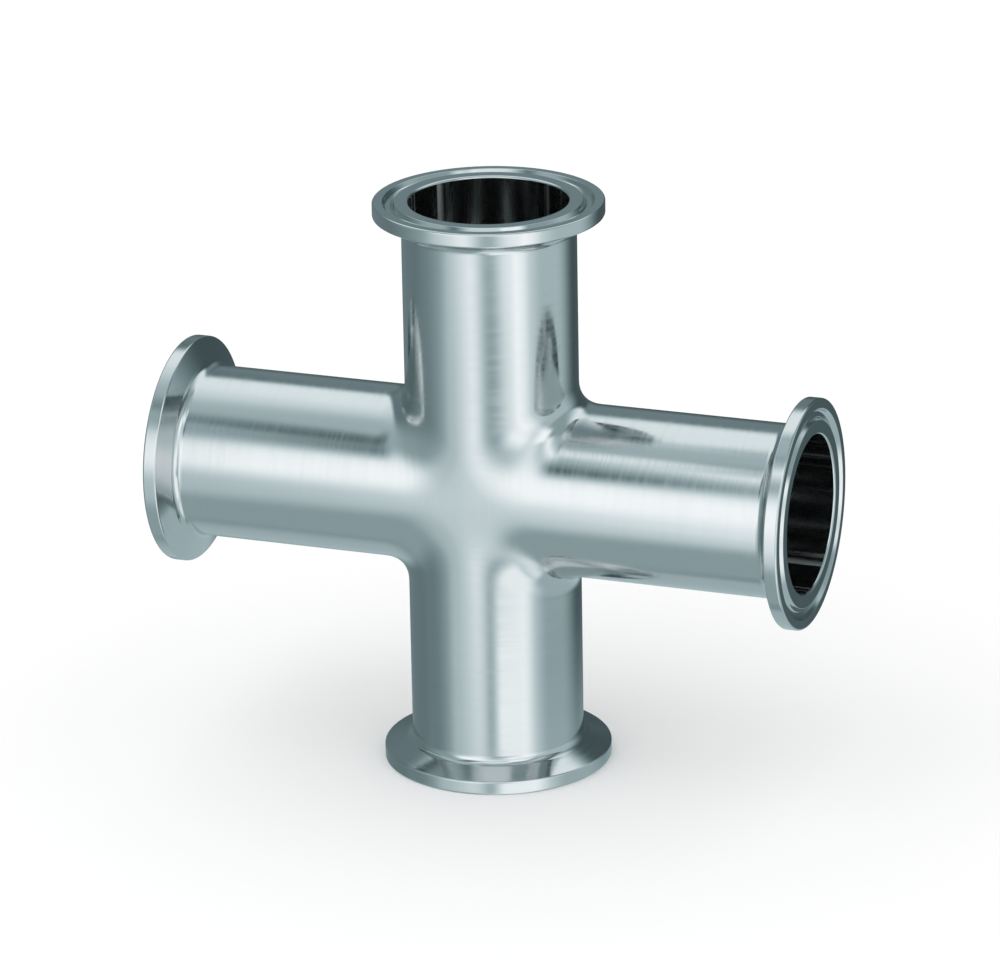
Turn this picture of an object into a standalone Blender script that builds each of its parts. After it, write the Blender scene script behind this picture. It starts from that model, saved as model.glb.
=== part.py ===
"""Hygienic four-way pipe cross with a clamp ferrule on each arm, all one piece.

Metres. The two bores cross at the origin: the run lies along X and the branches along Z.
"""

import math

import bmesh
import bpy
from mathutils import Matrix, Vector

NAME = "clamp_cross"

# Tube of all four arms, a 1.5 inch size
TUBE_OD = 0.0381
WALL = 0.00165

# From the crossing point to the sealing face of an arm
RUN_CENTRE_TO_FACE = 0.073
BRANCH_CENTRE_TO_FACE = 0.0644

# Pulled crotch between two arms: how far its curve reaches along an arm at the sides, and at the front
# and back. Curves of power 1 are round, and lower powers run out into the arms more softly. The margin is
# the first straight length of tube past the curve.
CROTCH_REACH = 0.0046
CROTCH_FRONT_REACH = 0.0125
CROTCH_POWER = 0.77
CROTCH_MARGIN = 0.002

# Ferrule: how far the flange stands out from the tube, its rim, its sloped back and its root
FLANGE_OVERHANG = 0.0062
RIM_THICKNESS = 0.0030
BACK_SLOPE = math.radians(20)
NECK_FILLET = 0.002
RIM_EASE = 0.0004
BORE_EASE = 0.0005

# Gasket groove in the sealing face, an arc in section, set in from the rim
GROOVE_INSET = 0.0035
GROOVE_WIDTH = 0.0026
GROOVE_DEPTH = 0.0011

# Fineness of the facets
FACETS_PER_QUARTER = 10
CROTCH_STEPS = 4
NECK_STEPS = 3
GROOVE_STEPS = 6

STEEL_COLOUR = (0.60, 0.64, 0.66, 1.0)
STEEL_ROUGHNESS = 0.22
SMOOTH_BELOW = math.radians(35)
MERGE_WITHIN = 1e-6

# This arm's half of the crotch's quarter turn, and the sine of a facet that lies on the arm's crest
HALF_ARC = math.pi / 4
ON_CREST = 1e-6

FACETS = 4 * FACETS_PER_QUARTER
TUBE_RADIUS = TUBE_OD / 2
BORE_RADIUS = TUBE_RADIUS - WALL
FLANGE_RADIUS = TUBE_RADIUS + FLANGE_OVERHANG


def clear_scene():
    """Removes whatever the file opened with."""
    for obj in list(bpy.data.objects):
        bpy.data.objects.remove(obj)


def arc(centre, radius, start, end, steps):
    """Points (along, radius from the axis) of an arc in the profile's plane, both ends included."""
    points = []
    for step in range(steps + 1):
        angle = start + (end - start) * step / steps
        points.append((centre[0] + radius * math.cos(angle), centre[1] + radius * math.sin(angle)))
    return points


def groove_profile(face):
    """The groove's arc from its outer edge to its inner edge, sunk into the face."""
    half = GROOVE_WIDTH / 2
    radius = (half ** 2 + GROOVE_DEPTH ** 2) / (2 * GROOVE_DEPTH)
    reach = math.asin(half / radius)
    centre = (face + radius - GROOVE_DEPTH, FLANGE_RADIUS - GROOVE_INSET)
    return arc(centre, radius, math.pi - reach, math.pi + reach, GROOVE_STEPS)


def neck_profile(back_corner):
    """The root fillet, from the tube's outside up to the flange's sloped back.

    The fillet touches the tube's line and the slope's line, so its centre stands off both by its radius.
    """
    run_back = (FLANGE_RADIUS - TUBE_RADIUS) * math.tan(BACK_SLOPE)
    slope_foot = back_corner - run_back
    set_back = NECK_FILLET * math.tan((math.pi / 2 - BACK_SLOPE) / 2)
    centre = (slope_foot - set_back, TUBE_RADIUS + NECK_FILLET)
    return arc(centre, NECK_FILLET, -math.pi / 2, -BACK_SLOPE, NECK_STEPS)


def round_stations(face):
    """Stations (along, radius) of an arm past its crotch: outside, flange, face, groove and bore."""
    root_end = TUBE_RADIUS + CROTCH_REACH + CROTCH_MARGIN
    back_corner = face - RIM_THICKNESS
    back_ease = RIM_EASE * math.tan(BACK_SLOPE)
    return [
        (root_end, TUBE_RADIUS),
        *neck_profile(back_corner),
        (back_corner - back_ease, FLANGE_RADIUS - RIM_EASE),
        (back_corner + RIM_EASE, FLANGE_RADIUS),
        (face - RIM_EASE, FLANGE_RADIUS),
        (face, FLANGE_RADIUS - RIM_EASE),
        *groove_profile(face),
        (face, BORE_RADIUS + BORE_EASE),
        (face - BORE_EASE, BORE_RADIUS),
        (root_end, BORE_RADIUS),
    ]


def round_point(station, angle):
    """A point of a round section. The angle runs round the arm from its front."""
    along, radius = station
    return Vector((along, -radius * math.cos(angle), radius * math.sin(angle)))


def crotch_point(radius, thickness, sweep, angle):
    """A point where one arm turns into the next, up to the plane halfway between them.

    At each depth Y both arms show the same half width, and a curve rounds the corner where they meet.
    The curve is tight at the sides and wide at the front and back. The sweep runs along this arm's half
    of that curve, from 0 where it leaves the arm. The thickness is that of the metal outside the skin.
    """
    half_width = radius * abs(math.sin(angle))
    reach = CROTCH_REACH + (CROTCH_FRONT_REACH - CROTCH_REACH) * math.cos(angle) ** 2 + thickness
    depth = -radius * math.cos(angle)
    if abs(math.sin(angle)) < ON_CREST:
        return Vector((reach * (1 - sweep / HALF_ARC), depth, 0))
    along = half_width + reach * (1 - math.sin(sweep) ** CROTCH_POWER)
    across = half_width + reach * (1 - math.cos(sweep) ** CROTCH_POWER)
    return Vector((along, depth, math.copysign(across, math.sin(angle))))


def arm_rings(face):
    """Every ring of an arm's skin in order, from the outside crotch round the flange to the inside crotch."""
    angles = [2 * math.pi * facet / FACETS for facet in range(FACETS)]
    sweeps = [HALF_ARC * step / CROTCH_STEPS for step in range(CROTCH_STEPS + 1)]
    outside = [
        [crotch_point(TUBE_RADIUS, 0, sweep, angle) for angle in angles]
        for sweep in reversed(sweeps)
    ]
    middle = [[round_point(station, angle) for angle in angles] for station in round_stations(face)]
    inside = [
        [crotch_point(BORE_RADIUS, WALL, sweep, angle) for angle in angles]
        for sweep in sweeps
    ]
    return outside + middle + inside


def add_arm(mesh, face, turn):
    """Draws one arm by extruding its first ring along the others. The turn is about Y, from +X."""
    spin = Matrix.Rotation(turn, 4, "Y")
    rings = arm_rings(face)
    circle = bmesh.ops.create_circle(mesh, segments=FACETS, radius=TUBE_RADIUS)
    ring = circle["verts"]
    edges = list({edge for vert in ring for edge in vert.link_edges})
    for vert, point in zip(ring, rings[0]):
        vert.co = spin @ point
    for points in rings[1:]:
        grown = bmesh.ops.extrude_edge_only(mesh, edges=edges)["geom"]
        edges = [item for item in grown if isinstance(item, bmesh.types.BMEdge)]
        next_ring = {}
        for vert in (item for item in grown if isinstance(item, bmesh.types.BMVert)):
            below = next(e.other_vert(vert) for e in vert.link_edges if e.other_vert(vert) in ring)
            next_ring[ring.index(below)] = vert
        edges = [e for e in edges if all(v in next_ring.values() for v in e.verts)]
        ring = [next_ring[index] for index in range(FACETS)]
        for vert, point in zip(ring, points):
            vert.co = spin @ point


def cross_mesh():
    """The whole skin: four arms turned about Y and welded along the planes between them."""
    mesh = bmesh.new()
    faces = (RUN_CENTRE_TO_FACE, BRANCH_CENTRE_TO_FACE) * 2
    for quarter, face in enumerate(faces):
        add_arm(mesh, face, math.pi / 2 * quarter)
    bmesh.ops.remove_doubles(mesh, verts=mesh.verts, dist=MERGE_WITHIN)
    bmesh.ops.recalc_face_normals(mesh, faces=mesh.faces)
    data = bpy.data.meshes.new(NAME)
    mesh.to_mesh(data)
    mesh.free()
    data.shade_smooth()
    data.set_sharp_from_angle(angle=SMOOTH_BELOW)
    return data


def steel():
    """Polished stainless steel."""
    material = bpy.data.materials.new("polished_stainless")
    material.use_nodes = True
    shader = material.node_tree.nodes["Principled BSDF"]
    shader.inputs["Base Color"].default_value = STEEL_COLOUR
    shader.inputs["Metallic"].default_value = 1.0
    shader.inputs["Roughness"].default_value = STEEL_ROUGHNESS
    return material


def build():
    """Makes the one object in a collection named for it."""
    clear_scene()
    collection = bpy.data.collections.new("sanitary_clamp_cross")
    bpy.context.scene.collection.children.link(collection)
    cross = bpy.data.objects.new(NAME, cross_mesh())
    cross.data.materials.append(steel())
    collection.objects.link(cross)


build()
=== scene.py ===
"""The look of a hygienic four-way clamp cross in polished stainless steel, in a plain white studio.

Metres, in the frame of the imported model: the two bores cross at the origin, the run lies along X and
the branches along Z. The fitting is one welded and polished piece, so one fine skin stands for it.
"""

import logging
import math
from dataclasses import dataclass, field
from enum import Enum

import bmesh
import bpy
from mathutils import Matrix, Vector


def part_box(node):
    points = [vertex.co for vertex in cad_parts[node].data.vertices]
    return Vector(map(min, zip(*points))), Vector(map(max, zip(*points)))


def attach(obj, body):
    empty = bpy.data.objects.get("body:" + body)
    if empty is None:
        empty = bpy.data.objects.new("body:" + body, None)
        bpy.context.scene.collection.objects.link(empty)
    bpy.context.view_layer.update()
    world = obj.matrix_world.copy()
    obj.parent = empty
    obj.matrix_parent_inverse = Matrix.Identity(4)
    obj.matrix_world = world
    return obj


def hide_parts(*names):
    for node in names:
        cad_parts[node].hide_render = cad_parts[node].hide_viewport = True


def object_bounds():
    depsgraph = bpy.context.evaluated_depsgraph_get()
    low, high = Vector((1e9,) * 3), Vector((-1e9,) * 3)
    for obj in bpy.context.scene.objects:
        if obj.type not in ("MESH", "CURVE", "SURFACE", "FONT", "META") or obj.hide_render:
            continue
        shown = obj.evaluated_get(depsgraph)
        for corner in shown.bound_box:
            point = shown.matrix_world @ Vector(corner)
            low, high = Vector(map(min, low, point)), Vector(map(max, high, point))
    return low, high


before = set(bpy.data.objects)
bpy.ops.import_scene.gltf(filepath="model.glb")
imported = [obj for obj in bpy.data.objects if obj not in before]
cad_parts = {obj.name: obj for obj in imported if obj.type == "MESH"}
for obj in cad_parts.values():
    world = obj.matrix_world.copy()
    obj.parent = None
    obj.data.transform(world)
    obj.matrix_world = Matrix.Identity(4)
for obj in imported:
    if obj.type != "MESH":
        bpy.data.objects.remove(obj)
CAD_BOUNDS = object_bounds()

log = logging.getLogger("clamp_cross")

NODE = "clamp_cross"
BODY = "root"
FINISH_ATTRIBUTE = "finish"
MILLIMETRE = 0.001


class Finish(Enum):
    """The three surfaces that are polished in their own way, by the value their faces carry."""

    TUBE = 0
    FERRULE = 1
    BORE = 2


class Trees:
    """Small helpers that both kinds of node tree use."""

    @staticmethod
    def node(tree: bpy.types.NodeTree, kind: str, **settings: object) -> bpy.types.Node:
        """Adds a node.

        Args:
            tree: The tree that gets the node.
            kind: The node's Blender type.
            settings: Properties to set on it.

        Returns:
            The new node.
        """
        made = tree.nodes.new(kind)
        for name, value in settings.items():
            setattr(made, name, value)
        return made

    @staticmethod
    def feed(tree: bpy.types.NodeTree, socket: bpy.types.NodeSocket, source: object) -> None:
        """Links a socket to another node's output, or sets its value.

        Args:
            tree: The tree that holds both.
            socket: The input to fill.
            source: An output socket or a plain value.
        """
        if isinstance(source, bpy.types.NodeSocket):
            tree.links.new(source, socket)
        else:
            socket.default_value = source

    @classmethod
    def compute(cls, tree: bpy.types.NodeTree, operation: str, *values: object) -> bpy.types.NodeSocket:
        """Adds a Math node.

        Args:
            tree: The tree that gets the node.
            operation: Its operation.
            values: Its inputs in order, as sockets or numbers.

        Returns:
            The node's output.
        """
        made = cls.node(tree, "ShaderNodeMath", operation=operation)
        for socket, value in zip(made.inputs, values):
            cls.feed(tree, socket, value)
        return made.outputs[0]

    @classmethod
    def vector(cls, tree: bpy.types.NodeTree, x: object, y: object, z: object) -> bpy.types.NodeSocket:
        """Joins three values into a vector.

        Args:
            tree: The tree that gets the node.
            x: The first value or socket.
            y: The second value or socket.
            z: The third value or socket.

        Returns:
            The vector's output.
        """
        made = cls.node(tree, "ShaderNodeCombineXYZ")
        for socket, value in zip(made.inputs, (x, y, z)):
            cls.feed(tree, socket, value)
        return made.outputs[0]

    @classmethod
    def split(cls, tree: bpy.types.NodeTree, source: bpy.types.NodeSocket) -> list[bpy.types.NodeSocket]:
        """Splits a vector.

        Args:
            tree: The tree that gets the node.
            source: The vector.

        Returns:
            Its three parts.
        """
        made = cls.node(tree, "ShaderNodeSeparateXYZ")
        tree.links.new(source, made.inputs[0])
        return list(made.outputs)


@dataclass
class Tube:
    """The tube that all four arms share, and the pulled crotch between them."""

    radius: float = 19.05 * MILLIMETRE
    wall: float = 1.65 * MILLIMETRE
    crotch_reach: float = 4.6 * MILLIMETRE
    crotch_front_reach: float = 12.5 * MILLIMETRE
    crotch_power: float = 0.77
    crotch_steps: int = 20
    guard: float = 0.4 * MILLIMETRE
    facets: int = 160

    @property
    def bore(self) -> float:
        """Inside radius."""
        return self.radius - self.wall


@dataclass
class Ferrule:
    """A clamp ferrule: straight stub, root fillet, sloped back, rim, and a face with a gasket groove.

    The groove's floor is flat over a share of its width. A guard point stands close to each end of a
    straight that is several guards long, so that the shading stays flat between them.
    """

    tube: Tube
    flange_radius: float = 25.25 * MILLIMETRE
    stub: float = 12.7 * MILLIMETRE
    rim: float = 3.0 * MILLIMETRE
    back_slope: float = math.radians(20)
    neck_fillet: float = 2.0 * MILLIMETRE
    rim_ease: float = 0.4 * MILLIMETRE
    bore_ease: float = 0.5 * MILLIMETRE
    groove_inset: float = 3.5 * MILLIMETRE
    groove_width: float = 2.6 * MILLIMETRE
    groove_depth: float = 1.1 * MILLIMETRE
    groove_floor: float = 0.5
    groove_edge: float = 0.12 * MILLIMETRE
    groove_corner: float = 0.7 * MILLIMETRE
    arc_steps: int = 6
    guard: float = 0.12 * MILLIMETRE
    guarded_from: float = 4.0

    def corners(self) -> list[tuple[float, float, float]]:
        """The section's corners in order from the outside weld line to the inside one.

        Returns:
            For each corner its place along the arm from the sealing face, its radius, and its rounding.
        """
        run_back = (self.flange_radius - self.tube.radius) * math.tan(self.back_slope)
        groove = self.flange_radius - self.groove_inset
        half, floor = self.groove_width / 2, self.groove_width / 2 * self.groove_floor
        return [
            (-self.stub, self.tube.radius, 0.0),
            (-self.rim - run_back, self.tube.radius, self.neck_fillet),
            (-self.rim, self.flange_radius, self.rim_ease),
            (0.0, self.flange_radius, self.rim_ease),
            (0.0, groove + half, self.groove_edge),
            (-self.groove_depth, groove + floor, self.groove_corner),
            (-self.groove_depth, groove - floor, self.groove_corner),
            (0.0, groove - half, self.groove_edge),
            (0.0, self.tube.bore, self.bore_ease),
            (-self.stub, self.tube.bore, 0.0),
        ]

    def profile(self) -> list[tuple[float, float]]:
        """The section with its corners rounded, and a guard point at each end of every straight.

        Returns:
            Points as (along, radius).
        """
        corners = self.corners()
        stretches = [[Vector(corners[0][:2])]]
        for before, here, after in zip(corners, corners[1:], corners[2:]):
            stretches.append(self.round_corner(Vector(before[:2]), here, Vector(after[:2])))
        stretches.append([Vector(corners[-1][:2])])
        points = list(stretches[0])
        for last, following in zip(stretches, stretches[1:]):
            start, end = last[-1], following[0]
            step = (end - start).normalized() * self.guard
            if (end - start).length > self.guarded_from * self.guard:
                points += [start + step, end - step]
            points += following
        return [tuple(point) for point in points]

    def round_corner(self, before: Vector, corner: tuple[float, float, float], after: Vector) -> list[Vector]:
        """Rounds one corner with an arc that touches both of its sides.

        Args:
            before: The corner ahead of it.
            corner: Its place and its rounding.
            after: The corner past it.

        Returns:
            The arc's points in order.
        """
        here, radius = Vector(corner[:2]), corner[2]
        back, ahead = (before - here).normalized(), (after - here).normalized()
        half_angle = back.angle(ahead) / 2
        centre = here + (back + ahead).normalized() * radius / math.sin(half_angle)
        first = here + back * radius / math.tan(half_angle) - centre
        last = here + ahead * radius / math.tan(half_angle) - centre
        turn = first.angle_signed(last)
        steps = [turn * step / self.arc_steps for step in range(self.arc_steps + 1)]
        return [centre + Matrix.Rotation(-angle, 2) @ first for angle in steps]


@dataclass
class PulledBody:
    """The four tube arms pulled out of one another, as an outer and an inner skin.

    A facet whose sine is below the crest value lies at the very front or back of its arm.
    """

    tube: Tube
    run_weld: float
    branch_weld: float
    half_arc: float = math.pi / 4
    on_crest: float = 1e-6

    def crotch_point(self, radius: float, thickness: float, sweep: float, angle: float) -> Vector:
        """A point where one arm turns into the next.

        At each depth both arms show the same half width, and a curve rounds the corner between them. It
        is tight at the sides, wide at the front and the back, and runs out softly into the arms.

        Args:
            radius: Radius of the skin.
            thickness: Metal between this skin and the outside.
            sweep: How far along this arm's half of the curve, from 0 where it leaves the arm.
            angle: Angle round the arm from its front.

        Returns:
            The point, for an arm along +X.
        """
        side, front, power = self.tube.crotch_reach, self.tube.crotch_front_reach, self.tube.crotch_power
        half_width = radius * abs(math.sin(angle))
        reach = side + (front - side) * math.cos(angle) ** 2 + thickness
        depth = -radius * math.cos(angle)
        if abs(math.sin(angle)) < self.on_crest:
            return Vector((reach * (1 - sweep / self.half_arc), depth, 0))
        along = half_width + reach * (1 - math.sin(sweep) ** power)
        across = half_width + reach * (1 - math.cos(sweep) ** power)
        return Vector((along, depth, math.copysign(across, math.sin(angle))))

    def skin(
        self, mesh: bmesh.types.BMesh, radius: float, thickness: float, weld: float, turn: float
    ) -> None:
        """Lofts one arm's skin from the middle of the crotch to its weld line.

        Args:
            mesh: The mesh that gets it.
            radius: Radius of the skin.
            thickness: Metal between this skin and the outside.
            weld: Where the arm ends.
            turn: The arm's turn about Y, from +X.
        """
        facets, steps = self.tube.facets, self.tube.crotch_steps
        spin = Matrix.Rotation(turn, 4, "Y")
        angles = [2 * math.pi * facet / facets for facet in range(facets)]
        rings = []
        for step in range(steps, -1, -1):
            sweep = self.half_arc * step / steps
            rings.append([self.crotch_point(radius, thickness, sweep, angle) for angle in angles])
        rings.append([point + Vector((self.tube.guard, 0, 0)) for point in rings[-1]])
        rings.append([Vector((weld, -radius * math.cos(a), radius * math.sin(a))) for a in angles])
        grid = [[mesh.verts.new(spin @ point) for point in ring] for ring in rings]
        for near, far in zip(grid, grid[1:]):
            for here in range(facets):
                beside = (here + 1) % facets
                mesh.faces.new((near[here], near[beside], far[beside], far[here]))

    def mesh(self) -> bpy.types.Mesh:
        """Both skins of all four arms, marked with their finish.

        Returns:
            The mesh, still open at the weld lines.
        """
        mesh = bmesh.new()
        finish = mesh.faces.layers.int.new(FINISH_ATTRIBUTE)
        tube = self.tube
        for radius, thickness, kind in ((tube.radius, 0.0, Finish.TUBE), (tube.bore, tube.wall, Finish.BORE)):
            before = len(mesh.faces)
            for quarter, weld in enumerate((self.run_weld, self.branch_weld) * 2):
                self.skin(mesh, radius, thickness, weld, math.pi / 2 * quarter)
            mesh.faces.ensure_lookup_table()
            for face in mesh.faces[before:]:
                face[finish] = kind.value
        data = bpy.data.meshes.new("pulled_body")
        mesh.to_mesh(data)
        mesh.free()
        return data


class FittingTree(Trees):
    """Geometry Nodes: turns one ferrule from its section, sets it on all four arms and welds them on."""

    INPUTS = (
        ("Section", "NodeSocketObject"),
        ("Section Points", "NodeSocketInt"),
        ("Facets", "NodeSocketInt"),
        ("Run Reach", "NodeSocketFloat"),
        ("Branch Reach", "NodeSocketFloat"),
        ("Tube Radius", "NodeSocketFloat"),
        ("Bore Radius", "NodeSocketFloat"),
        ("Face Ease", "NodeSocketFloat"),
        ("Weld Distance", "NodeSocketFloat"),
        ("Tube Finish", "NodeSocketMaterial"),
        ("Ferrule Finish", "NodeSocketMaterial"),
        ("Bore Finish", "NodeSocketMaterial"),
    )
    ARMS = 4
    # How far past the tube or the bore a face may lie and still count as theirs, as a share of the lip's
    # rounding, and how far apart two finish values are still the same
    SLACK = 0.1
    SAME_FINISH = 0.5

    def __init__(self) -> None:
        """Builds the tree."""
        self.tree = bpy.data.node_groups.new("weld_four_ferrules", "GeometryNodeTree")
        self.tree.is_modifier = True
        panel = self.tree.interface
        panel.new_socket("Body", in_out="INPUT", socket_type="NodeSocketGeometry")
        for name, kind in self.INPUTS:
            panel.new_socket(name, in_out="INPUT", socket_type=kind)
        panel.new_socket("Fitting", in_out="OUTPUT", socket_type="NodeSocketGeometry")
        self.given = self.node(self.tree, "NodeGroupInput").outputs
        self.finish_all(self.weld(self.place(self.mark(self.turn()))))

    def turn(self) -> bpy.types.NodeSocket:
        """Turns the section about X: one grid row for each section point, one column for each facet.

        Returns:
            The turned ferrule, with its sealing face at X = 0.
        """
        tree, given = self.tree, self.given
        section = self.node(tree, "GeometryNodeObjectInfo")
        tree.links.new(given["Section"], section.inputs["Object"])
        grid = self.node(tree, "GeometryNodeMeshGrid")
        columns = self.compute(tree, "ADD", given["Facets"], 1.0)
        tree.links.new(columns, grid.inputs["Vertices X"])
        tree.links.new(given["Section Points"], grid.inputs["Vertices Y"])
        index = self.node(tree, "GeometryNodeInputIndex").outputs[0]
        row = self.compute(tree, "MODULO", index, given["Section Points"])
        column = self.compute(tree, "FLOOR", self.compute(tree, "DIVIDE", index, given["Section Points"]))
        sample = self.node(tree, "GeometryNodeSampleIndex", data_type="FLOAT_VECTOR", domain="POINT")
        tree.links.new(section.outputs["Geometry"], sample.inputs["Geometry"])
        tree.links.new(self.node(tree, "GeometryNodeInputPosition").outputs[0], sample.inputs["Value"])
        tree.links.new(row, sample.inputs["Index"])
        along, radius, _ = self.split(tree, sample.outputs["Value"])
        share = self.compute(tree, "DIVIDE", column, given["Facets"])
        angle = self.compute(tree, "MULTIPLY", share, 2 * math.pi)
        forward = self.compute(tree, "MULTIPLY", radius, self.compute(tree, "COSINE", angle))
        upward = self.compute(tree, "MULTIPLY", radius, self.compute(tree, "SINE", angle))
        place = self.vector(tree, along, self.compute(tree, "MULTIPLY", forward, -1.0), upward)
        moved = self.node(tree, "GeometryNodeSetPosition")
        tree.links.new(grid.outputs["Mesh"], moved.inputs["Geometry"])
        tree.links.new(place, moved.inputs["Position"])
        return moved.outputs[0]

    def mark(self, ferrule: bpy.types.NodeSocket) -> bpy.types.NodeSocket:
        """Marks each face of the ferrule as tube, turned surface or bore, by where it lies.

        Args:
            ferrule: The turned ferrule.

        Returns:
            The same ferrule with the finish on its faces.
        """
        tree, given = self.tree, self.given
        position = self.node(tree, "GeometryNodeInputPosition").outputs[0]
        along, forward, upward = self.split(tree, position)
        radius = self.node(tree, "ShaderNodeVectorMath", operation="LENGTH")
        tree.links.new(self.vector(tree, 0.0, forward, upward), radius.inputs[0])
        slack = self.compute(tree, "MULTIPLY", given["Face Ease"], self.SLACK)
        lip = self.compute(tree, "MULTIPLY", given["Face Ease"], -1.0)
        behind_face = self.compute(tree, "LESS_THAN", along, lip)
        tube_reach = self.compute(tree, "ADD", given["Tube Radius"], slack)
        straight = self.compute(tree, "LESS_THAN", radius.outputs["Value"], tube_reach)
        bore_reach = self.compute(tree, "ADD", given["Bore Radius"], slack)
        bored = self.compute(tree, "LESS_THAN", radius.outputs["Value"], bore_reach)
        on_tube = self.compute(tree, "MULTIPLY", behind_face, straight)
        in_bore = self.compute(tree, "MULTIPLY", behind_face, bored)
        outside = self.compute(tree, "SUBTRACT", float(Finish.FERRULE.value), on_tube)
        value = self.compute(tree, "MULTIPLY_ADD", in_bore, float(Finish.BORE.value), outside)
        stored = self.node(tree, "GeometryNodeStoreNamedAttribute", data_type="INT", domain="FACE")
        stored.inputs["Name"].default_value = FINISH_ATTRIBUTE
        tree.links.new(ferrule, stored.inputs["Geometry"])
        tree.links.new(value, stored.inputs["Value"])
        return stored.outputs[0]

    def place(self, ferrule: bpy.types.NodeSocket) -> bpy.types.NodeSocket:
        """Sets a copy of the ferrule on each arm, a quarter turn about Y apart.

        Args:
            ferrule: The finished ferrule.

        Returns:
            The four instances.
        """
        tree, given = self.tree, self.given
        index = self.node(tree, "GeometryNodeInputIndex").outputs[0]
        angle = self.compute(tree, "MULTIPLY", index, 2 * math.pi / self.ARMS)
        reach = self.node(tree, "GeometryNodeSwitch", input_type="FLOAT")
        tree.links.new(self.compute(tree, "MODULO", index, 2.0), reach.inputs["Switch"])
        tree.links.new(given["Run Reach"], reach.inputs["False"])
        tree.links.new(given["Branch Reach"], reach.inputs["True"])
        aim = self.node(tree, "ShaderNodeVectorRotate", rotation_type="Y_AXIS")
        tree.links.new(self.vector(tree, reach.outputs[0], 0.0, 0.0), aim.inputs["Vector"])
        tree.links.new(angle, aim.inputs["Angle"])
        ends = self.node(tree, "GeometryNodePoints")
        ends.inputs["Count"].default_value = self.ARMS
        tree.links.new(aim.outputs[0], ends.inputs["Position"])
        spin = self.node(tree, "FunctionNodeAxisAngleToRotation")
        spin.inputs["Axis"].default_value = (0.0, 1.0, 0.0)
        tree.links.new(angle, spin.inputs["Angle"])
        copies = self.node(tree, "GeometryNodeInstanceOnPoints")
        tree.links.new(ends.outputs[0], copies.inputs["Points"])
        tree.links.new(ferrule, copies.inputs["Instance"])
        tree.links.new(spin.outputs[0], copies.inputs["Rotation"])
        return copies.outputs[0]

    def weld(self, ferrules: bpy.types.NodeSocket) -> bpy.types.NodeSocket:
        """Joins the ferrules to the body and merges the rings that meet.

        Args:
            ferrules: The four instances.

        Returns:
            One closed skin.
        """
        tree, given = self.tree, self.given
        joined = self.node(tree, "GeometryNodeJoinGeometry")
        tree.links.new(ferrules, joined.inputs[0])
        tree.links.new(given["Body"], joined.inputs[0])
        real = self.node(tree, "GeometryNodeRealizeInstances")
        tree.links.new(joined.outputs[0], real.inputs[0])
        merged = self.node(tree, "GeometryNodeMergeByDistance")
        tree.links.new(real.outputs[0], merged.inputs["Geometry"])
        tree.links.new(given["Weld Distance"], merged.inputs["Distance"])
        return merged.outputs[0]

    def finish_all(self, skin: bpy.types.NodeSocket) -> None:
        """Gives each face the material that its finish names, and ends the tree.

        Args:
            skin: The welded fitting.
        """
        tree = self.tree
        for kind in Finish:
            wanted = self.node(tree, "GeometryNodeInputNamedAttribute", data_type="INT")
            wanted.inputs["Name"].default_value = FINISH_ATTRIBUTE
            found = wanted.outputs["Attribute"]
            same = self.compute(tree, "COMPARE", found, float(kind.value), self.SAME_FINISH)
            dressed = self.node(tree, "GeometryNodeSetMaterial")
            tree.links.new(skin, dressed.inputs["Geometry"])
            tree.links.new(same, dressed.inputs["Selection"])
            tree.links.new(self.given[f"{kind.name.capitalize()} Finish"], dressed.inputs["Material"])
            skin = dressed.outputs[0]
        tree.links.new(skin, self.node(tree, "NodeGroupOutput").inputs[0])

    def identifier(self, name: str) -> str:
        """The modifier's own name for an input."""
        return next(item.identifier for item in self.tree.interface.items_tree if item.name == name)


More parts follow.
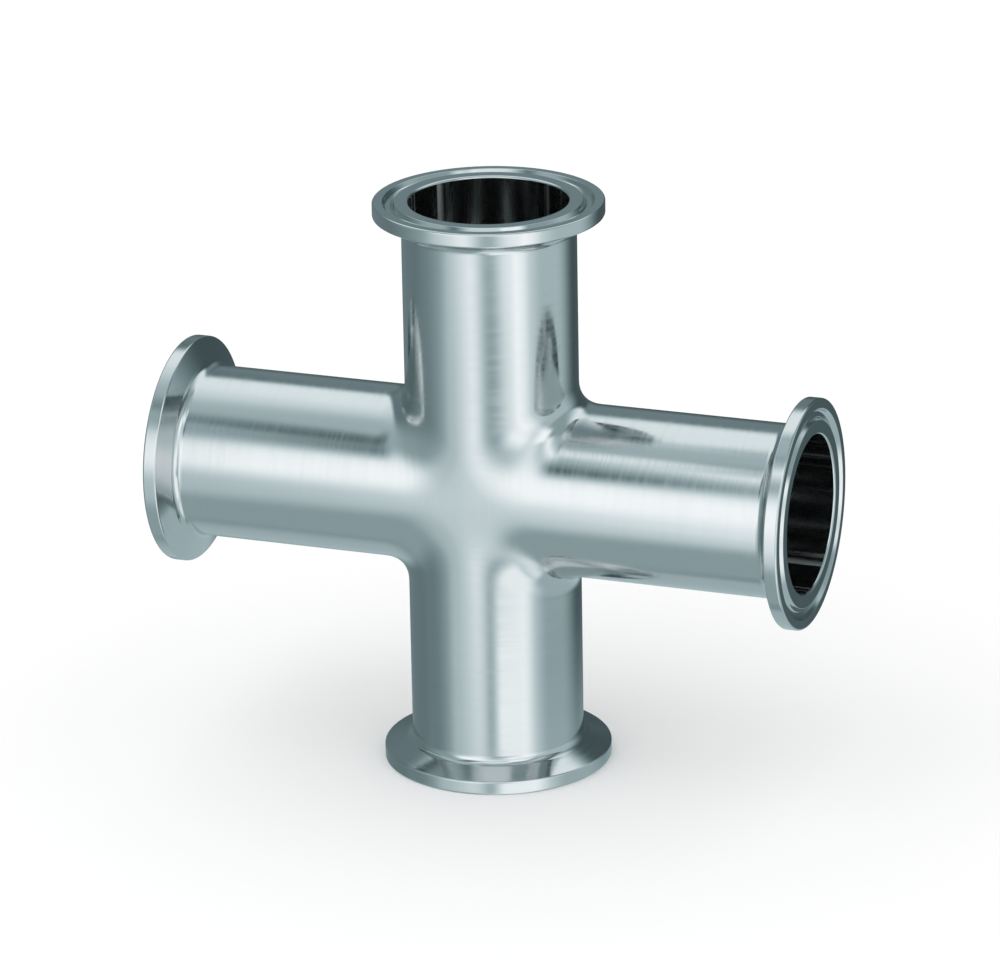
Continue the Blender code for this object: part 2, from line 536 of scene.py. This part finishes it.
class MarksGroup(Trees):
    """Shader node group: the fine marks that the polishing belt and the lathe leave round each arm."""

    MARK_DETAIL = 2.0
    WAVE_DETAIL = 1.0
    PATCH_DETAIL = 3.0
    _tree: bpy.types.NodeTree | None = None

    @classmethod
    def tree(cls) -> bpy.types.NodeTree:
        """The group, built the first time it is asked for.

        Its marks run round whichever arm a point lies on. Lay is the place along that arm and out from
        its axis, so the same marks are rings on a flat face and hoops on a tube.

        Returns:
            The node group.
        """
        if cls._tree is not None:
            return cls._tree
        tree = bpy.data.node_groups.new("polishing_marks", "ShaderNodeTree")
        panel = tree.interface
        for name in ("Across the Lay", "Round the Arm", "Waves per Metre", "Patches per Metre"):
            panel.new_socket(name, in_out="INPUT", socket_type="NodeSocketFloat")
        for name in ("Marks", "Waves", "Patches"):
            panel.new_socket(name, in_out="OUTPUT", socket_type="NodeSocketFloat")
        given = cls.node(tree, "NodeGroupInput").outputs
        result = cls.node(tree, "NodeGroupOutput").inputs
        place = cls.node(tree, "ShaderNodeTexCoord").outputs["Object"]
        x, y, z = cls.split(tree, place)
        from_branch, from_run = cls.compute(tree, "ABSOLUTE", x), cls.compute(tree, "ABSOLUTE", z)
        on_run = cls.compute(tree, "GREATER_THAN", from_branch, from_run)
        lay = cls.node(tree, "ShaderNodeMix", data_type="VECTOR")
        tree.links.new(on_run, lay.inputs["Factor"])
        tree.links.new(cls.vector(tree, z, y, x), lay.inputs[4])
        tree.links.new(cls.vector(tree, x, y, z), lay.inputs[5])
        along, depth, side = cls.split(tree, lay.outputs[1])
        out = cls.node(tree, "ShaderNodeVectorMath", operation="LENGTH")
        tree.links.new(cls.vector(tree, 0.0, depth, side), out.inputs[0])
        lengthwise = cls.compute(tree, "ADD", along, out.outputs["Value"])
        across = cls.compute(tree, "MULTIPLY", lengthwise, given["Across the Lay"])
        forward = cls.compute(tree, "MULTIPLY", depth, given["Round the Arm"])
        sideways = cls.compute(tree, "MULTIPLY", side, given["Round the Arm"])
        marks = cls.noise(tree, cls.vector(tree, across, forward, sideways), 1.0, cls.MARK_DETAIL)
        tree.links.new(marks, result["Marks"])
        waves = cls.noise(tree, place, given["Waves per Metre"], cls.WAVE_DETAIL)
        tree.links.new(waves, result["Waves"])
        patches = cls.noise(tree, place, given["Patches per Metre"], cls.PATCH_DETAIL)
        tree.links.new(patches, result["Patches"])
        cls._tree = tree
        return tree

    @classmethod
    def noise(
        cls, tree: bpy.types.NodeTree, place: bpy.types.NodeSocket, scale: object, detail: float
    ) -> bpy.types.NodeSocket:
        """Adds a noise texture.

        Args:
            tree: The tree that gets it.
            place: Where to read it.
            scale: Its scale, as a socket or a number.
            detail: Its detail.

        Returns:
            Its value, about 0.5 on average.
        """
        made = cls.node(tree, "ShaderNodeTexNoise")
        tree.links.new(place, made.inputs["Vector"])
        cls.feed(tree, made.inputs["Scale"], scale)
        made.inputs["Detail"].default_value = detail
        return made.outputs[0]


@dataclass(frozen=True)
class SteelFinish:
    """Stainless steel with polishing marks, slow waves and faint patches of tone.

    Smooth and marked are the roughness beside the marks and on them, and the two mark levels say where
    one turns into the other. Depths are in metres.
    """

    name: str
    colour: tuple[float, float, float]
    smooth: float
    marked: float
    marks_from: float
    marks_to: float
    tone_spread: float
    marks_lengthwise: float
    marks_round: float
    mark_depth: float
    waves_per_metre: float
    wave_depth: float
    patches_per_metre: float = 45.0

    def material(self) -> bpy.types.Material:
        """Builds the material.

        Returns:
            The new material.
        """
        material = bpy.data.materials.new(self.name)
        material.use_nodes = True
        tree = material.node_tree
        shader = tree.nodes["Principled BSDF"]
        shader.inputs["Metallic"].default_value = 1.0
        marks = Trees.node(tree, "ShaderNodeGroup")
        marks.node_tree = MarksGroup.tree()
        marks.inputs["Across the Lay"].default_value = self.marks_lengthwise
        marks.inputs["Round the Arm"].default_value = self.marks_round
        marks.inputs["Waves per Metre"].default_value = self.waves_per_metre
        marks.inputs["Patches per Metre"].default_value = self.patches_per_metre
        lowest = 1.0 - self.tone_spread / 2
        tone = Trees.compute(tree, "MULTIPLY_ADD", marks.outputs["Patches"], self.tone_spread, lowest)
        colour = Trees.node(tree, "ShaderNodeMix", data_type="RGBA", blend_type="MULTIPLY")
        colour.inputs["Factor"].default_value = 1.0
        colour.inputs[6].default_value = (*self.colour, 1.0)
        tree.links.new(Trees.vector(tree, tone, tone, tone), colour.inputs[7])
        tree.links.new(colour.outputs[2], shader.inputs["Base Color"])
        rough = Trees.node(tree, "ShaderNodeMapRange")
        tree.links.new(marks.outputs["Marks"], rough.inputs["Value"])
        rough.inputs["From Min"].default_value = self.marks_from
        rough.inputs["From Max"].default_value = self.marks_to
        rough.inputs["To Min"].default_value = self.smooth
        rough.inputs["To Max"].default_value = self.marked
        tree.links.new(rough.outputs[0], shader.inputs["Roughness"])
        waved = self.bump(tree, marks.outputs["Waves"], self.wave_depth, None)
        normal = self.bump(tree, marks.outputs["Marks"], self.mark_depth, waved)
        tree.links.new(normal, shader.inputs["Normal"])
        return material

    @staticmethod
    def bump(
        tree: bpy.types.NodeTree,
        height: bpy.types.NodeSocket,
        depth: float,
        under: bpy.types.NodeSocket | None,
    ) -> bpy.types.NodeSocket:
        """Adds a bump.

        Args:
            tree: The material's tree.
            height: Height from 0 to 1.
            depth: What a height of 1 stands for, in metres.
            under: The normal to add to, if any.

        Returns:
            The bumped normal.
        """
        made = Trees.node(tree, "ShaderNodeBump")
        made.inputs["Strength"].default_value = 1.0
        made.inputs["Distance"].default_value = depth
        tree.links.new(height, made.inputs["Height"])
        if under is not None:
            tree.links.new(under, made.inputs["Normal"])
        return made.outputs[0]


@dataclass
class ClampCross:
    """The whole fitting: pulled body, four ferrules, and the finish of each surface."""

    tube: Tube = field(default_factory=Tube)
    weld_distance: float = 0.01 * MILLIMETRE
    smooth_below: float = math.radians(40)
    finishes: dict[Finish, SteelFinish] = field(
        default_factory=lambda: {
            Finish.TUBE: SteelFinish(
                name="satin_tube",
                colour=(0.61, 0.635, 0.64),
                smooth=0.09,
                marked=0.18,
                marks_from=0.3,
                marks_to=0.7,
                tone_spread=0.06,
                marks_lengthwise=1100.0,
                marks_round=70.0,
                mark_depth=8.0e-6,
                waves_per_metre=90.0,
                wave_depth=2.0e-5,
            ),
            Finish.FERRULE: SteelFinish(
                name="turned_ferrule",
                colour=(0.61, 0.635, 0.64),
                smooth=0.08,
                marked=0.15,
                marks_from=0.3,
                marks_to=0.7,
                tone_spread=0.05,
                marks_lengthwise=2600.0,
                marks_round=60.0,
                mark_depth=3.0e-6,
                waves_per_metre=110.0,
                wave_depth=1.0e-5,
            ),
            Finish.BORE: SteelFinish(
                name="drawn_bore",
                colour=(0.60, 0.60, 0.60),
                smooth=0.12,
                marked=0.75,
                marks_from=0.62,
                marks_to=0.72,
                tone_spread=0.10,
                marks_lengthwise=5.0,
                marks_round=310.0,
                mark_depth=1.0e-5,
                waves_per_metre=60.0,
                wave_depth=1.0e-5,
            ),
        }
    )

    def build(self) -> bpy.types.Object:
        """Makes the fine skin and puts it in place of the plain solid.

        Returns:
            The finished object.
        """
        low, high = (Vector(corner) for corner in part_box(NODE))
        ferrule = Ferrule(self.tube)
        body = PulledBody(self.tube, high.x - ferrule.stub, high.z - ferrule.stub)
        cross = bpy.data.objects.new("clamp_cross_skin", body.mesh())
        bpy.context.scene.collection.objects.link(cross)
        section = self.section(ferrule)
        tree = FittingTree()
        weld = cross.modifiers.new("weld_ferrules", "NODES")
        weld.node_group = tree.tree
        for name, value in {
            "Section": section,
            "Section Points": len(section.data.vertices),
            "Facets": self.tube.facets,
            "Run Reach": high.x,
            "Branch Reach": high.z,
            "Tube Radius": self.tube.radius,
            "Bore Radius": self.tube.bore,
            "Face Ease": ferrule.bore_ease,
            "Weld Distance": self.weld_distance,
            "Tube Finish": self.finishes[Finish.TUBE].material(),
            "Ferrule Finish": self.finishes[Finish.FERRULE].material(),
            "Bore Finish": self.finishes[Finish.BORE].material(),
        }.items():
            weld[tree.identifier(name)] = value
        self.settle(cross)
        bpy.data.objects.remove(section)
        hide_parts(NODE)
        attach(cross, BODY)
        reach = (high.x - low.x) / MILLIMETRE
        log.info("%s: %d faces, reach %.1f mm across", cross.name, len(cross.data.polygons), reach)
        return cross

    def section(self, ferrule: Ferrule) -> bpy.types.Object:
        """The ferrule's section as a chain of points, for the tree to read.

        Args:
            ferrule: The ferrule to draw.

        Returns:
            A helper object.
        """
        points = [(along, radius, 0.0) for along, radius in ferrule.profile()]
        data = bpy.data.meshes.new("ferrule_section")
        data.from_pydata(points, [(i, i + 1) for i in range(len(points) - 1)], [])
        section = bpy.data.objects.new("ferrule_section", data)
        bpy.context.scene.collection.objects.link(section)
        return section

    def settle(self, cross: bpy.types.Object) -> None:
        """Replaces the tree by its result, with faces outwards and shaded smooth.

        Args:
            cross: The object that carries the tree.
        """
        bpy.context.view_layer.update()
        done = bpy.data.meshes.new_from_object(cross.evaluated_get(bpy.context.evaluated_depsgraph_get()))
        cross.modifiers.clear()
        cross.data = done
        mesh = bmesh.new()
        mesh.from_mesh(done)
        bmesh.ops.recalc_face_normals(mesh, faces=mesh.faces)
        mesh.to_mesh(done)
        mesh.free()
        done.shade_smooth()
        done.set_sharp_from_angle(angle=self.smooth_below)


@dataclass(frozen=True)
class TentPanel:
    """A soft-edged card of the light tent, by where it stands as seen from the fitting.

    Angles are in degrees. Azimuth is from the front, -Y, towards +X, and elevation is up from level.
    """

    name: str
    azimuth: float
    elevation: float
    half_width: float
    half_height: float
    side_softness: float
    end_softness: float
    brightness: float


@dataclass
class LightTent(Trees):
    """The studio's tent of white and grey cards, which only the steel's reflections see."""

    radius: float = 0.5
    segments: int = 48
    rings: int = 24
    base_brightness: float = 0.46
    dark_tint: tuple[float, float, float] = (0.66, 1.0, 1.06)
    light_tint: tuple[float, float, float] = (1.03, 1.02, 1.03)
    tint_fades_at: float = 1.45
    panels: tuple[TentPanel, ...] = (
        TentPanel("below", -39.0, -55.0, 304.0, 29.0, 90.0, 8.0, 0.59),
        TentPanel("left fill", -48.0, -55.0, 38.0, 46.0, 72.0, 43.0, 0.23),
        TentPanel("right fill", 62.0, 6.0, 90.0, 27.0, 59.0, 10.0, 0.68),
        TentPanel("front low", 13.6, -16.0, 51.0, 62.0, 19.0, 21.0, 1.09),
        TentPanel("front", 17.0, 13.4, 48.0, 36.0, 16.0, 13.0, 1.40),
        TentPanel("camera gap", 37.0, -13.0, 27.0, 31.0, 37.0, 39.0, 0.08),
        TentPanel("top front", -37.0, 67.0, 73.0, 32.0, 8.0, 38.0, 0.62),
        TentPanel("top slit", -23.0, 51.0, 10.0, 18.0, 24.0, 17.0, 0.05),
        TentPanel("top back", -158.0, 58.0, 62.0, 20.0, 74.0, 14.0, 1.14),
        TentPanel("back", -177.0, 4.0, 46.0, 32.0, 44.0, 12.0, 0.11),
        TentPanel("back glow", -160.0, 24.0, 14.0, 17.0, 12.0, 18.0, 0.28),
        TentPanel("left back", -110.0, 0.0, 35.0, 38.0, 37.0, 15.0, 0.25),
        TentPanel("front left strip", -31.0, -32.0, 16.0, 27.0, 52.0, 23.0, 0.70),
        TentPanel("right strip", 54.0, -17.0, 8.0, 26.0, 61.0, 25.0, 1.91),
        TentPanel("right top", 8.0, 55.4, 36.0, 5.4, 12.0, 24.0, 1.50),
        TentPanel("front slit", -43.0, -59.0, 42.0, 23.0, 27.0, 19.0, 0.48),
        TentPanel("right band", -31.6, 59.0, 8.5, 8.5, 9.0, 8.5, 1.14),
        TentPanel("left line", -37.4, 51.0, 10.0, 5.3, 38.0, 7.6, 0.08),
        TentPanel("upper strip", 39.0, 3.0, 16.0, 16.6, 47.0, 24.0, 1.44),
        TentPanel("lower strip", 37.0, -34.0, 19.5, 15.0, 19.0, 10.6, 1.30),
    )

    def build(self) -> bpy.types.Object:
        """Sets up the tent.

        Returns:
            The tent.
        """
        mesh = bmesh.new()
        bmesh.ops.create_uvsphere(mesh, u_segments=self.segments, v_segments=self.rings, radius=self.radius)
        bmesh.ops.reverse_faces(mesh, faces=mesh.faces)
        data = bpy.data.meshes.new("light_tent")
        mesh.to_mesh(data)
        mesh.free()
        data.shade_smooth()
        data.materials.append(self.material())
        tent = bpy.data.objects.new("light_tent", data)
        bpy.context.scene.collection.objects.link(tent)
        tent.visible_camera = False
        tent.visible_diffuse = False
        tent.visible_transmission = False
        tent.visible_shadow = False
        log.info("light tent: %d panels", len(self.panels))
        return tent

    def material(self) -> bpy.types.Material:
        """The cards' brightness over the tent, laid one over another.

        Returns:
            The new material.
        """
        material = bpy.data.materials.new("tent_cards")
        material.use_nodes = True
        tree = material.node_tree
        tree.nodes.clear()
        place = self.node(tree, "ShaderNodeTexCoord").outputs["Object"]
        unit = self.node(tree, "ShaderNodeVectorMath", operation="NORMALIZE")
        tree.links.new(place, unit.inputs[0])
        x, y, z = self.split(tree, unit.outputs[0])
        ahead = self.compute(tree, "MULTIPLY", y, -1.0)
        azimuth = self.compute(tree, "DEGREES", self.compute(tree, "ARCTAN2", x, ahead))
        elevation = self.compute(tree, "DEGREES", self.compute(tree, "ARCSINE", z))
        value: object = self.base_brightness
        for panel in self.panels:
            value = self.lay(tree, panel, azimuth, elevation, value)
        tint = self.node(tree, "ShaderNodeMix", data_type="RGBA")
        tree.links.new(self.compute(tree, "DIVIDE", value, self.tint_fades_at), tint.inputs["Factor"])
        tint.inputs[6].default_value = (*self.dark_tint, 1.0)
        tint.inputs[7].default_value = (*self.light_tint, 1.0)
        glow = self.node(tree, "ShaderNodeEmission")
        tree.links.new(tint.outputs[2], glow.inputs["Color"])
        tree.links.new(value, glow.inputs["Strength"])
        tree.links.new(glow.outputs[0], self.node(tree, "ShaderNodeOutputMaterial").inputs["Surface"])
        return material

    def lay(
        self,
        tree: bpy.types.NodeTree,
        panel: TentPanel,
        azimuth: bpy.types.NodeSocket,
        elevation: bpy.types.NodeSocket,
        under: object,
    ) -> bpy.types.NodeSocket:
        """Lays one card over what is there.

        Args:
            tree: The material's tree.
            panel: The card.
            azimuth: The azimuth of a place on the tent, in degrees.
            elevation: Its elevation, in degrees.
            under: The brightness so far.

        Returns:
            The brightness with the card.
        """
        turned = self.compute(tree, "SUBTRACT", azimuth, panel.azimuth)
        aside = self.compute(tree, "ABSOLUTE", self.compute(tree, "WRAP", turned, 180.0, -180.0))
        above = self.compute(tree, "ABSOLUTE", self.compute(tree, "SUBTRACT", elevation, panel.elevation))
        side = self.edge(tree, aside, panel.half_width, panel.side_softness)
        end = self.edge(tree, above, panel.half_height, panel.end_softness)
        mixed = self.node(tree, "ShaderNodeMix", data_type="FLOAT")
        tree.links.new(self.compute(tree, "MULTIPLY", side, end), mixed.inputs["Factor"])
        self.feed(tree, mixed.inputs[2], under)
        mixed.inputs[3].default_value = panel.brightness
        return mixed.outputs[0]

    def edge(
        self, tree: bpy.types.NodeTree, distance: bpy.types.NodeSocket, half: float, softness: float
    ) -> bpy.types.NodeSocket:
        """A soft edge.

        Args:
            tree: The material's tree.
            distance: Degrees from the card's middle.
            half: Degrees from its middle to its edge.
            softness: Degrees over which the edge fades.

        Returns:
            1 inside, 0 outside.
        """
        ramp = self.node(tree, "ShaderNodeMapRange", interpolation_type="SMOOTHSTEP")
        tree.links.new(distance, ramp.inputs["Value"])
        ramp.inputs["From Min"].default_value = half + softness / 2
        ramp.inputs["From Max"].default_value = half - softness / 2
        return ramp.outputs[0]


@dataclass
class Studio:
    """The plain white floor and world, the soft lamp and the camera."""

    floor_size: float = 12.0
    floor_colour: tuple[float, float, float] = (0.98, 0.98, 0.98)
    world_strength: float = 1.0
    key_power: float = 2.6
    key_size: float = 1.2
    key_place: tuple[float, float, float] = (-0.5, -0.7, 1.3)
    camera_azimuth: float = math.radians(20.509)
    camera_elevation: float = math.radians(19.913)
    camera_roll: float = math.radians(-1.079)
    camera_distance: float = 1.3
    focal_pixels: float = 5921.6
    frame_width: float = 1000.0
    frame_height: float = 956.0
    origin_pixel: tuple[float, float] = (493.66, 480.02)
    sensor_width: float = 36.0

    def build(self) -> None:
        """Sets up the whole studio."""
        self.floor()
        self.world()
        self.key_lamp()
        self.camera()
        bpy.context.scene.view_settings.view_transform = "Standard"
        log.info("studio ready")

    def floor(self) -> None:
        """Lays the floor under the fitting."""
        mesh = bmesh.new()
        bmesh.ops.create_grid(mesh, x_segments=1, y_segments=1, size=self.floor_size / 2)
        bmesh.ops.translate(mesh, verts=mesh.verts, vec=(0.0, 0.0, CAD_BOUNDS[0][2]))
        data = bpy.data.meshes.new("floor")
        mesh.to_mesh(data)
        mesh.free()
        material = bpy.data.materials.new("white_floor")
        material.use_nodes = True
        shader = material.node_tree.nodes["Principled BSDF"]
        shader.inputs["Base Color"].default_value = (*self.floor_colour, 1.0)
        shader.inputs["Roughness"].default_value = 1.0
        shader.inputs["Specular IOR Level"].default_value = 0.0
        data.materials.append(material)
        floor = bpy.data.objects.new("floor", data)
        bpy.context.scene.collection.objects.link(floor)
        floor.visible_glossy = False

    def world(self) -> None:
        """Makes the world plain white."""
        world = bpy.data.worlds.new("white_studio")
        world.use_nodes = True
        world.node_tree.nodes["Background"].inputs["Color"].default_value = (1.0, 1.0, 1.0, 1.0)
        world.node_tree.nodes["Background"].inputs["Strength"].default_value = self.world_strength
        bpy.context.scene.world = world

    def key_lamp(self) -> None:
        """Hangs a large soft lamp above the front, to the left. It gives the floor its faint shadow."""
        lamp = bpy.data.lights.new("key_lamp", "AREA")
        lamp.energy = self.key_power
        lamp.size = self.key_size
        key = bpy.data.objects.new("key_lamp", lamp)
        key.location = self.key_place
        key.rotation_euler = Vector(self.key_place).to_track_quat("Z", "Y").to_euler()
        key.visible_glossy = False
        bpy.context.scene.collection.objects.link(key)

    def camera(self) -> None:
        """Places the camera at the photograph's angle."""
        azimuth, elevation, roll = self.camera_azimuth, self.camera_elevation, self.camera_roll
        back = Vector(
            (
                math.sin(azimuth) * math.cos(elevation),
                -math.cos(azimuth) * math.cos(elevation),
                math.sin(elevation),
            )
        )
        right = Vector((math.cos(azimuth), math.sin(azimuth), 0.0))
        turned = Matrix((right, back.cross(right), back)).transposed() @ Matrix.Rotation(roll, 3, "Z")
        lens = bpy.data.cameras.new("camera")
        lens.sensor_width = self.sensor_width
        lens.lens = self.focal_pixels * self.sensor_width / self.frame_width
        lens.shift_x = (self.frame_width / 2 - self.origin_pixel[0]) / self.frame_width
        lens.shift_y = (self.origin_pixel[1] - self.frame_height / 2) / self.frame_width
        camera = bpy.data.objects.new("camera", lens)
        camera.matrix_world = Matrix.Translation(back * self.camera_distance) @ turned.to_4x4()
        bpy.context.scene.collection.objects.link(camera)
        bpy.context.scene.camera = camera


def main() -> None:
    """Builds the fitting and its studio."""
    logging.basicConfig(level=logging.INFO, format="%(name)s: %(message)s")
    ClampCross().build()
    LightTent().build()
    Studio().build()


if __name__ == "__main__":
    main()
